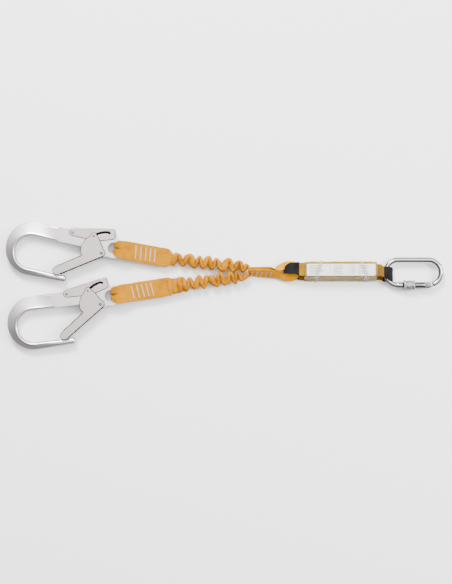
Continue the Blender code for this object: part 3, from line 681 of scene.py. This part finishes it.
def lever(key):
    outline = (arc(LEVER_PIVOT, 6.0, 270, 150, 18)
               + [(-84.2, 20.6), (-82.6, 22.2), (-80.2, 23.0), (-9.7, 33.8), (-5.9, 34.2),
                  (-4.8, 33.9), (-4.2, 33.0), (-2.2, 20.5), (-2.0, 18.4), (-2.5, 17.2),
                  (-4, 16.2), (-15, 12.6), (-29, 8.9), (-40, 8.1), (-54, 8.3)])
    loops = [outline, ribbon(slot_path(), 2 * PIN_RADIUS + 1.5), arc(LEVER_PIVOT, 1.9, 0, 345, 23)]
    name = f"hook_{key}_squeeze_lever"
    web = [(-72.0, 24.35), (-9.7, 33.8), (-4.2, 33.4), (-4.2, 31.8), (-9.9, 32.2), (-72.0, 22.7)]
    meshes = (pair(name, loops, *LEVER_PLATE, 0.6)
              + [outline_mesh(name, [web], -LEVER_PLATE[1], LEVER_PLATE[1], 0.4)])
    # The near-black strip round the slot, laid under each plate, is painted shade that makes the
    # slot read dark.
    pressed(key, "lever", name, meshes, outline, LEVER_PLATE, 1.5,
            ribbon(slot_path(), 2 * PIN_RADIUS + 2.1))


def gate_point(along, across):
    """A point by its place along the closed gate from its pivot, and across it."""
    forward = toward(HOOK_ARM)
    return Vector(GATE_PIVOT) + forward * along + Vector((forward.y, -forward.x)) * across


def gate(key):
    tip = smooth_path([gate_point(*p) for p in (
        (82, -5.4), (89, -5.3), (93.8, -3.6), (95.8, 0.4), (95.2, 4.6), (92, 7.6), (86, 8.6))], 5)
    shoulder = smooth_path([(-54.0, -21.8), (-57.0, -19.0), (-58.7, -14.5), (-58.2, -4.5),
                            (-53.4, 6.2), (-46.5, 13.6)], 4)
    outline = (arc(GATE_PIVOT, 6.0, 50, -57, 18) + tip
               + [gate_point(40, 8.8), gate_point(35.5, 8.9)] + shoulder
               + arc(pin_place(), 5.0, 168, 35, 16)
               + smooth_path([(-33.2, 15.0), (-28, 8.7), (-23.4, 0.6), (-18.6, -6.2)], 4))
    loops = [outline, arc(GATE_PIVOT, 2.4, 0, 345, 23), arc(pin_place(), 1.6, 0, 330, 11)]
    # edge is a near-black strip along the arm's upper side, laid under the plates: painted shade
    # along that edge.
    web, lip, edge = ([gate_point(*p) for p in shape] for shape in (
        ((30, -5.5), (79, -5.1), (79, -3.4), (30, -3.8)),
        ((38, 7.8), (83, 7.6), (83, 9.6), (38, 9.8)),
        ((37, 8.0), (84, 8.0), (84, 10.3), (37, 10.6))))
    name = f"hook_{key}_gate_channel"
    meshes = (pair(name, loops, *GATE_PLATE, 0.65)
              + [outline_mesh(name, [web], -GATE_PLATE[0], GATE_PLATE[0], 0.4)]
              + pair(name, [lip], BODY_HALF + 0.3, GATE_PLATE[0] - 0.3, 0.2))
    pressed(key, "gate", name, meshes, outline, GATE_PLATE, 2.2, edge)


def rivets(key):
    """Turned pins, each profile given from the top to the middle and mirrored below it."""
    head, low = GATE_PLATE[1] + 0.1, LEVER_PLATE[1] + 0.1
    rows = (
        ("gate_pivot_rivet", GATE_PIVOT, f"hook_{key}", [
            (0.01, 9.6), (1.2, 9.8), (1.4, 11.4), (1.8, 11.8), (2.6, 11.7), (3.1, 11.2),
            (3.3, 10.7), (3.3, head), (2.2, head)]),
        ("lever_pivot_rivet", LEVER_PIVOT, f"hook_{key}", [
            (0.01, 8.9), (0.7, 8.9), (1.0, 9.4), (1.9, 9.4), (2.5, 9.0), (2.7, 8.5), (2.7, low),
            (1.7, low)]),
        ("lock_pin", pin_place(), f"hook_{key}_gate", [
            (0.01, 10.9), (0.7, 10.9), (1.0, 11.4), (1.7, 11.4), (2.2, 11.0), (2.4, 10.6),
            (2.4, head), (1.5, head)]),
    )
    for part, place, body, upper in rows:
        name = f"hook_{key}_{part}_turned"
        mesh = lathe(name, upper + [(r, -h) for r, h in reversed(upper)], 36)
        make(name, mesh, HOOK[key] @ Matrix.Translation((*place, 0)), 40, "rivet", body,
             (f"hook_{key}_{part}",))


# ---- straps ----
TACKS = (41.0, 50.5, 59.7, 68.2, 76.9)  # from the hook's eye, mm
WEBBING = 2.2  # thickness in mm


def leg_end(key):
    """Strap through the hook's eye, folded back and sewn down."""
    upper = [Vector((x, 0, z)) for x, z in (
        (115, 1.3), (104, 1.35), (90, 1.3), (60, 1.3), (44, 1.4), (38, 2.2), (31, 5.0), (24, 8.2),
        (18, 10.3))]
    bight = [Vector((LOOP_CENTRE + 14.0 * cos(a), 0, 11.2 * sin(a)))
             for a in (radians(84 + 192 * i / 24) for i in range(25))]
    lower = [Vector((p.x, 0, -p.z)) for p in reversed(upper)]
    path = even_path(smooth_path(upper + bight + lower, 4), 1.1)
    seed = 3.0 if key == "a" else 8.0
    end_half, taper = (8.2, 98.0) if key == "a" else (14.6, 109.0)

    def half(i):
        x, z = path[i].x, abs(path[i].z)
        if x < LOOP_CENTRE:
            wide = blend(z, 6.2, 8.6, 9.9, 13.6) + blend(z, 8.6, 11.2, 0.0, 2.6)
        else:
            wide = blend(x, LOOP_CENTRE, 22.0, 16.2, 17.3)
        wide = blend(x, taper, 114.5, wide, end_half)
        return wide + 0.4 * noise((i * 0.05, seed, 0.2)) * ease(x, 14, 30)

    def bulge(i, v):
        x = path[i].x
        near = 1.0 - ease(x, 2.0, 20.0)
        notch = 5.5 * near * exp(-(abs(v) / 0.2) ** 1.3) - 0.5 * near * cos(v * 5.5)
        crown = -0.45 * (1 - v * v) * ease(x, 36, 50) * (1 - ease(x, 96, 104))
        dimple = 1.8 * exp(-((x - 25) / 7.0) ** 2 - (v / 0.4) ** 2)
        seam = 0.5 * exp(-((x - 99.5) / 1.1) ** 2)
        gather = 0.7 * sin(v * 13 + seed) * ease(x, 101, 112)
        return notch + crown + dimple + seam + gather + 0.3 * noise((i * 0.11, v * 1.3, seed))

    name = f"leg_{key}_strap"
    mesh = band(name, path, lambda i: (0, 1, 0), half, WEBBING, bulge, 30)
    obj = make(name, mesh, HOOK[key], SOFT, "webbing", None, (f"leg_{key}_end_loop",))
    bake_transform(obj)
    threads = [bar_tack((x, 0, height), (1, 0.1, 0), (-0.1, 1, 0), 2.0, 24.5, 30)
               for x in TACKS for height in (3.1, -3.1)]
    name = f"leg_{key}_bar_tack_threads"
    make(name, threads, HOOK[key], SOFT, "thread", f"leg_{key}_end",
         (f"leg_{key}_bar_tacks",))


def bar_tack(centre, along, across, length, width, count):
    """One bar tack: a raised bar of close stitches across the strap, count of them."""
    centre, along, across = Vector(centre), Vector(along).normalized(), Vector(across).normalized()
    steps = 4 * count
    path = [centre + across * (i / steps - 0.5) * width for i in range(steps + 1)]

    def half(i):
        return length / 2 * (0.55 + 0.45 * ease(min(i, steps - i), 0, 4)) + 0.12 * (i // 2 % 2)

    def stitch(i, v):
        return 0.13 * cos(i * pi / 2 + 1.6 * v) * (1 - 0.5 * v * v)

    return band("bar_tack", path, lambda i: along, half, 1.15, stitch, 8)


# ---- elastic legs ----
def folds(s, length, key):
    """Reach above and below the axis in mm at s, and the phase of the folds."""
    first = key == "a"
    seed = 0.9 if first else 2.6
    turn = (pi / 18.4 * s + seed + 0.42 * sin(s * 0.083 + seed)
            + 0.24 * sin(s * 0.21 + 2 * seed))
    flat = 0.0 if first else 1 - ease(s, 20, 40)
    tall = blend(s, length * 0.8, length, 12.9, 8.0)
    grow = 1 + 0.16 * noise((s * 0.11, seed, 0)) + 0.1 * sin(s * 0.19 + seed)
    deep = blend(s, length * 0.85, length, 10.4, 4.0) * (1 - 0.86 * flat)
    tall += (15.0 - tall) * flat
    grow += (1 - grow) * flat
    above = tall * grow - deep * (1 - abs(cos(turn)) ** 0.62)
    below = tall * grow - deep * (1 - abs(sin(turn)) ** 0.62)
    return above, below, turn, flat


def elastic_sleeve(key):
    """Tubular webbing gathered over the elastic: lobes from side to side, creased between them.
    Its axis, in metres, runs from the strap's end to just short of the yoke."""
    start, far = (HOOK[key] @ Vector((x, 0, 0)) for x in (108.0, 113.0))
    pull = Vector(JOINTS[f"leg_{key}_stretch"]["axis"])
    slide = pull.normalized()
    reach = (far.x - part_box(f"leg_{key}_elastic_core")[1][0]) / slide.x
    end = far - slide * (reach + 0.0045)
    axis = end - start
    length = axis.length / MM
    side = axis.cross(Vector((0, 0, -1))).normalized()
    rows, cols = 340, 88
    rings = []
    for i in range(rows + 1):
        share = i / rows
        s = share * length
        above, below, turn, flat = folds(s, length, key)
        taper = blend(share, 0.0, 0.05, 0.8 + 0.22 * flat, 1.0) * blend(share, 0.93, 1.0, 1.0, 0.62)
        middle, half = (above - below) / 2 * taper, (above + below) / 2 * taper
        depth = blend(share, 0.0, 0.2, 5.2, 9.6) * blend(share, 0.9, 1.0, 1.0, 0.75)
        ring = []
        for j in range(cols):
            angle = tau * j / cols
            across, up = cos(angle), sin(angle)
            across = copysign(abs(across) ** 0.9, across)
            bend = 0.16 * sin(s * 0.15 + across)
            crease = max(exp(-(abs(wave) * 4.2) ** 1.1) * ease(lean, -0.75, 0.05) for wave, lean
                         in ((cos(turn + bend), across), (sin(turn + bend), -across)))
            crease *= 0.62 * (1 - flat)
            crease += 0.34 * flat * abs(cos(pi * (s + 3.0) / 9.5)) ** 14
            pleat = 0.035 * cos(tau * s / 2.7 + 3.0 * across + 2.0 * sin(s * 0.4))
            rough = noise((s * 0.17, across * 1.5, up + (0 if key == "a" else 9)))
            height = depth * (1 - crease + pleat + 0.16 * rough)
            wide = half * (1 - 0.12 * crease + 0.02 * rough)
            point = (start + axis * share + side * (middle + wide * across) * MM
                     + Vector((0, 0, height * up * MM)))
            point.z = max(point.z, 0.0012)
            ring.append(point)
        rings.append(ring)

    def coords(i, j):
        return (i / rows * length * 2.2, j / cols * 66.0, 0.0)

    name = f"leg_{key}_gathered_sleeve"
    obj = make(name, loft(name, rings, coords), Matrix(), 180, "elastic", None,
               (f"leg_{key}_elastic_sleeve", f"leg_{key}_elastic_core"))
    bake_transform(obj)


# ---- yoke ----
def yoke():
    """Strap sewn flat to the legs, then opening into the ring that holds the absorber's eye."""
    stations = [  # x, y, z, half width, and the direction across it
        (43.5, 22.7, 13.4, 11.4, 0, 0.5, 0.87), (60, 21.8, 13.4, 12.2, 0, 0.52, 0.85),
        (80, 20.6, 13.0, 12.5, 0, 0.57, 0.82), (92, 20.2, 12.4, 11.4, 0.02, 0.64, 0.77),
        (102, 19.2, 11.4, 9.9, 0.05, 0.82, 0.57), (112, 15.8, 10.8, 8.9, 0.05, 0.86, 0.5),
        (120, 14.4, 10.8, 8.9, -0.15, 0.9, 0.4), (129, 16.8, 11.8, 8.9, -0.5, 0.62, 0.6),
        (137.3, 25.0, 13.6, 8.8, -0.45, 0, 0.9), (135.5, 34.2, 14.2, 8.8, -0.3, -0.45, 0.84),
        (127, 38.4, 14.2, 8.9, -0.05, -0.52, 0.85), (118, 38.2, 14.2, 8.9, 0.05, -0.6, 0.8),
        (110, 35.6, 14.2, 9.0, 0.1, -0.64, 0.76), (103, 32.4, 14.2, 9.6, 0.1, -0.6, 0.8),
        (97, 30.4, 14.2, 10.6, 0.05, -0.3, 0.95), (91.5, 28.9, 14.2, 11.5, 0, 0.1, 0.99),
        (86, 27.9, 14.2, 12.0, 0, 0.36, 0.93), (78, 27.3, 14.2, 12.4, 0, 0.45, 0.89),
        (60, 27.0, 14.2, 12.4, 0, 0.45, 0.89), (43.5, 26.9, 14.2, 11.8, 0, 0.45, 0.89)]
    rows = smooth_path(stations, 10)
    path = [Vector(row[:3]) for row in rows]

    def crease(i, v):
        return 0.45 * noise((i * 0.09, v, 4.0))

    strap = band("yoke_strap", path, lambda i: rows[i][4:], lambda i: rows[i][3], WEBBING, crease,
                 18)
    inner = [Vector((43.2 + 2 * i, 24.6 - 0.012 * i, 13.8)) for i in range(21)]
    filler = band("yoke_inner", inner, lambda i: (0, 0.5, 0.87), lambda i: 11.6, 1.7, None, 10)
    name = "yoke_folded_strap"
    obj = make(name, [strap, filler], WORLD, SOFT, "yoke", "yoke",
               ("yoke_webbing",))
    threads = []
    for x in (49.5, 58.3, 67.2, 76.0, 84.8):
        slope = Vector((0, blend(x, 43, 92, 0.5, 0.63), blend(x, 43, 92, 0.87, 0.78))).normalized()
        middle = Vector((x, 22.7 - 2.4 * (x - 43.5) / 48.5, 13.3 - 0.7 * ease(x, 60, 92)))
        centre = middle + Vector((0, -slope.z, slope.y)) * 1.75 - slope * 0.8
        threads.append(bar_tack(centre, (1, 0, 0), slope + Vector((0.16, 0, 0)), 2.2, 15.0, 17))
    name = "yoke_bar_tack_threads"
    make(name, threads, WORLD, SOFT, "yoke_thread", "yoke", ("yoke_bar_tacks",))


# ---- absorber ----
PACK_START, PACK_END, PACK_LOW, PACK_HIGH = 147.0, 281.0, 0.9, 27.9  # x and z, mm
PACK_MID_Y, PACK_HALF, PACK_SHEAR = 24.6, 13.8, 11.0 / 28.0
TAPES = (("left", 173.5, 0.3), ("right", 256.0, -0.35))  # middle along the pack, and its slant


def pack_lean(z):
    """How far the leaning pack is shifted in y at a height."""
    return PACK_SHEAR * (z - 14.0)


def box_ring(half, low, high, radius, steps=6, sides=8):
    """Points round a box's YZ section, its corners rounded."""
    corners = [((half - radius, low + radius), 270), ((half - radius, high - radius), 0),
               ((radius - half, high - radius), 90), ((radius - half, low + radius), 180)]
    result = []
    for (centre, start), (other, _) in zip(corners, corners[1:] + corners[:1]):
        points = arc(centre, radius, start, start + 90, steps)
        result += points
        leave = Vector(points[-1])
        begin = Vector(other) + radius * toward(start + 90)
        result += [tuple(leave.lerp(begin, i / sides)) for i in range(1, sides)]
    return result


def film_skin(name, start, end, grow, wall, wrinkle, rows, slant=0.0):
    """Closed thin skin round the pack: outer rings out and inner rings back."""
    rings = []
    for inset, order in ((0.0, range(rows + 1)), (wall, range(rows, -1, -1))):
        for i in order:
            share = i / rows
            x = start + (end - start) * share
            edge = exp(-min(x - PACK_START, PACK_END - x) / 3.5) if wrinkle else 0.0
            ring = []
            section = box_ring(PACK_HALF + grow - inset - 0.9 * edge, PACK_LOW - grow + inset,
                               PACK_HIGH + grow - inset - 0.8 * edge, 2.6)
            for j, (y, z) in enumerate(section):
                swell = wrinkle * noise((x * 0.07, y * 0.16, z * 0.2))
                swell += wrinkle * 0.5 * noise((x * 0.35, y * 0.1, z * 0.5))
                y += swell * (1 if y > 0 else -1) * (abs(y) > PACK_HALF - 3)
                z += swell * (z > PACK_HIGH - 3)
                ring.append((x + slant * y, PACK_MID_Y + y + pack_lean(z), z))
            rings.append(ring)
    return loft(name, rings, closed=True)


def absorber_pack():
    """Film, tapes and a label whose marks are plain lines, with no lettering."""
    film = film_skin("absorber_film", PACK_START, PACK_END, 0.0, 0.35, 0.5, 90)
    make("absorber_film", film, WORLD, SOFT, "film", "absorber", ("absorber_film_cover",))
    for side, x, slant in TAPES:
        mesh = film_skin("absorber_tape", x - 3.6, x + 3.6, 0.9, 0.3, 0.0, 8, slant)
        make(f"absorber_{side}_tape", mesh, WORLD, SOFT, "tape", "absorber",
             (f"absorber_{side}_band",))
    corners = (((276, 37.4), 0), ((152.2, 37.4), 90), ((152.2, 18.3), 180), ((276, 18.3), 270))
    outline = [p for corner, start in corners for p in arc(corner, 1.2, start, start + 90, 6)]
    label = outline_mesh("absorber_printed_label", [outline], 28.15, 28.5, 0.08, 1)
    make("absorber_printed_label", label, WORLD, 40, "label", "absorber", ("absorber_label",))
    marks = []
    rows = (21.2, 24.0, 26.8, 29.6, 32.4, 35.2)
    blocks = ((156, 190, 0.8), (200, 226, 0.7), (232, 243, 0.9), (247, 272, 0.75))
    for b, (low, high, fill) in enumerate(blocks):
        for r, y in enumerate(rows):
            run = (high - low) * fill * (0.62 + 0.38 * abs(sin(2.3 * r + 1.7 * b)))
            marks.append(box_mesh("mark", (run, 0.9, 0.05), (low + run / 2, y, 28.53)))
    for x in (195, 229, 245):
        marks.append(box_mesh("rule", (0.5, 17.5, 0.05), (x, 28.0, 28.53)))
    name = "absorber_label_marks"
    make(name, marks, WORLD, 40, "ink", "absorber", ())


def eye_path(bight, root, half, mid_z):
    """Up one side, round the bight and back, in the XZ plane."""
    sign = 1 if root > bight else -1
    start, end = (90, 270) if sign > 0 else (90, -90)
    turn = arc((bight + sign * half, mid_z), half, start, end, 40)
    points = [(root, mid_z + half)] + turn + [(root, mid_z - half)]
    return even_path([(x, 0, z) for x, z in points], 1.0)


def eye_band(name, path, centre_at, half_at, lean_at, thickness, bulge):
    """Webbing round an eye; its middle, width and lean follow x."""
    placed = [Vector((p.x, centre_at(p.x) + lean_at(p.x) * pack_lean(p.z), p.z)) for p in path]
    return band(name, placed, lambda i: (0, 1, 0), lambda i: half_at(path[i].x), thickness, bulge,
                16)


def absorber_eyes():
    """Webbing round each eye, and the black protector over the part beyond the pack."""
    def point(x):
        return sin(min(max((x - 108.4) / 14.0, 0.0), 1.0) * pi / 2) ** 0.8

    def soft(i, v):
        return 0.4 * noise((i * 0.08, v * 1.2, 7.0))

    rows = (  # side, bight, root, half height, middle z, (centre, half width, lean), cover's end
        ("left", 110.2, 154.0, 10.9, 14.0, (
            lambda x: 24.6 + 6.3 * point(x) + blend(x, 126, 140, 0.0, -6.3),
            lambda x: 2.2 + 7.2 * point(x) + blend(x, 126, 142, 0, 2.6),
            lambda x: blend(x, 126, 138, 0.0, 1.0)), 137.5),
        ("right", 309.4, 274.0, 8.9, 11.8, (
            lambda x: blend(x, 287, 296, 24.6, 20.6) - blend(x, 298, 304, 0.0, 1.5),
            lambda x: blend(x, 283, 296, 11.2, 9.8) + blend(x, 298, 304, 0.0, 1.5),
            lambda x: blend(x, 289, 298, 1.0, 0.8)), 293.6))
    for side, bight, root, half, mid_z, spread, cover_end in rows:
        path = eye_path(bight, root, half, mid_z)
        name = f"absorber_{side}_eye_webbing"
        obj = make(name, eye_band(name, path, *spread, 2.1, soft), WORLD, SOFT, f"neck_{side}",
                   "absorber", (f"absorber_{side}_eye_strap",))
        cover = [p for p in path if (p.x - cover_end) * (root - bight) < 0]
        wide = (spread[0], lambda x, f=spread[1]: f(x) + 1.1, spread[2])
        name = f"absorber_{side}_eye_sleeve"
        obj = make(name, eye_band(name, cover, *wide, 4.0, soft), WORLD, SOFT, "protector",
                   "absorber", (f"absorber_{side}_eye_protector",))
    threads = [bar_tack((x, 23.5, 22.1), (1, 0, 0), (0, 1, 0), 1.9, 17.0, 9)
               for x in (285.2, 289.0)]
    name = "absorber_eye_threads"
    make(name, threads, WORLD, SOFT, "dark_thread", "absorber",
         ("absorber_right_eye_stitching",))


# ---- connector ----
OVAL = dict(left=321.2, right=377.0, y=22.9, radius=23.4, z=11.8, wire=4.5)  # wire: radius
BAR_Y, BAR_RADIUS, RIVET_X, LATCH_X = -0.5, 5.65, 377.0, 324.0


def connector():
    """Oval wire with its lug, the gate on it, the knurled sleeve, the rivet and the latch pin."""
    z = OVAL["z"]
    start = arc((OVAL["left"], OVAL["y"]), OVAL["radius"], 270, 90, 60)
    end = arc((OVAL["right"], OVAL["y"]), OVAL["radius"], 90, -70, 54)
    path = even_path([(x, y, z) for x, y in [(330.0, BAR_Y)] + start + end], 1.4)
    last = len(path) - 1

    def radius(i):
        x, y, _ = path[i]
        nose = blend(x, 317, 322, 0.0, 1.0) if y < 6 and x < 340 else 0.0
        return (OVAL["wire"] + nose) * (0.8 if i in (0, last) else 1.0)

    lug = arc((RIVET_X, BAR_Y), 5.4, 50, 300, 28) + [(385.6, -3.4), (387.0, 4.0)]
    meshes = [tube("connector_wire", path, radius, 28),
              outline_mesh("connector_lug", [lug], z - 2.1, z + 2.1, 0.4)]
    make("connector_body", meshes, WORLD, 40, "steel", "carabiner", ("carabiner_body",))

    barrel = [(0.01, 371.0), (4.6, 371.0), (BAR_RADIUS - 0.3, 370.6), (BAR_RADIUS, 370.0),
              (BAR_RADIUS, 333.0), (BAR_RADIUS - 0.4, 332.0), (0.01, 332.0)]
    cheek = arc((RIVET_X, 0), 5.6, -90, 90, 20) + [(369.5, 5.6), (369.5, -5.6)]
    meshes = [lathe("gate_barrel", barrel, 36, "X"), *pair("gate_cheek", [cheek], 2.4, 4.9, 0.8),
              box_mesh("gate_tongue", (10.0, 6.0, 3.8), (327.2, 0, 0), 0.4)]
    bar = WORLD @ Matrix.Translation((0, BAR_Y, z))
    make("connector_gate", meshes, bar, 40, "gate_steel", "carabiner_gate", ("carabiner_gate",))

    sleeve = [(6.1, 351.6), (8.4, 351.6), (9.0, 351.1), (9.0, 348.6), (8.6, 348.2), (7.6, 347.8),
              (7.6, 345.4), (8.3, 345.0), (8.6, 344.6), (8.6, 338.8), (8.3, 338.4), (7.6, 338.0),
              (7.6, 335.4), (8.6, 335.0), (9.0, 334.6), (9.0, 331.5), (8.4, 331.0), (6.1, 331.0)]
    knurled = {2, 3, 8, 9, 14, 15}

    def knurl(i, j):
        return (-0.32 if i % 4 < 2 else 0.0) if j in knurled else 0.0

    make("connector_sleeve", lathe("connector_sleeve", sleeve, 144, "X", knurl), bar, 35, "sleeve",
         "carabiner_sleeve", ("carabiner_screw_sleeve",))

    for part, x, r, top, body in (("gate_rivet", RIVET_X, 1.7, 5.7, "carabiner"),
                                  ("latch_pin", LATCH_X, 1.0, 4.9, "carabiner_gate")):
        upper = [(0.01, top), (r * 0.7, top), (r, top - 0.4)]
        name = f"connector_{part}"
        mesh = lathe(name, upper + [(r, -h) for r, h in reversed(upper)], 24)
        make(name, mesh, bar @ Matrix.Translation((x, 0, 0)), 40, "rivet", body,
             (f"carabiner_{part}",))


# ---- stage, lights and camera ----
CAMERA = (2.3, -13.2, 2415.0)  # design coordinates, mm, straight above the object
FLOOR_HALF, FLOOR_DROP = 6.0, 0.0006  # metres


def studio_world():
    """Light tent: brightest overhead and behind, dim towards the front left."""
    world = bpy.data.worlds.new("studio")
    sky = Nodes(world)
    facing = sky.add("ShaderNodeVectorMath", operation="DOT_PRODUCT")
    facing.inputs[1].default_value = Vector((0.25, 0.42, 0.87)).normalized()
    sky.link(sky.add("ShaderNodeTexCoord").outputs["Generated"], facing.inputs[0])
    stops = ((0.0, 0.07), (0.45, 0.08), (0.68, 0.18), (0.84, 0.72), (0.97, 1.0))
    levels = sky.ramp(facing.outputs["Value"], [(at, (level,) * 3) for at, level in stops])
    sky.feed("Color", levels, "Background")
    sky.feed("Strength", 4.9, "Background")
    bpy.context.scene.world = world


def stage():
    """Pale floor, soft overhead light and a camera straight above."""
    mesh = bpy.data.meshes.new("floor")
    mesh.from_pydata([(x * FLOOR_HALF, y * FLOOR_HALF, 0)
                      for x, y in ((-1, -1), (1, -1), (1, 1), (-1, 1))], [], [(0, 1, 2, 3)])
    floor = in_scene("floor", mesh)
    floor.location.z = -FLOOR_DROP
    m = surface("floor_pale", 0.9)
    m.feed("Base Color", (0.97, 0.97, 0.97, 1.0))
    floor.data.materials.append(m.owner)
    studio_world()
    for name, place, power in (("key", (-0.5, 1.7, 1.9), 118.0), ("side", (1.9, 0.3, 1.7), 62.0)):
        light = bpy.data.lights.new(name, "AREA")
        light.size = 0.7
        light.energy = power
        lamp = in_scene(name, light)
        lamp.location = place
        lamp.rotation_euler = (-Vector(place)).to_track_quat("-Z", "Y").to_euler()
    camera = bpy.data.cameras.new("camera")
    camera.lens = 80.0
    camera.sensor_width = 36.0
    view = in_scene("camera", camera)
    view.location = WORLD @ Vector(CAMERA)
    bpy.context.scene.camera = view


# ---- build ----
for hook in "ab":
    forged_body(hook)
    lever(hook)
    gate(hook)
    rivets(hook)
    leg_end(hook)
    elastic_sleeve(hook)
yoke()
absorber_pack()
absorber_eyes()
connector()
for node, obj in frame["nodes"].items():
    if node.endswith("_spring"):
        dress(obj, "spring")
dress(frame["nodes"]["absorber_tear_webbing"], "tear")
dress(frame["nodes"]["carabiner_gate_plunger"], "steel")
stage()
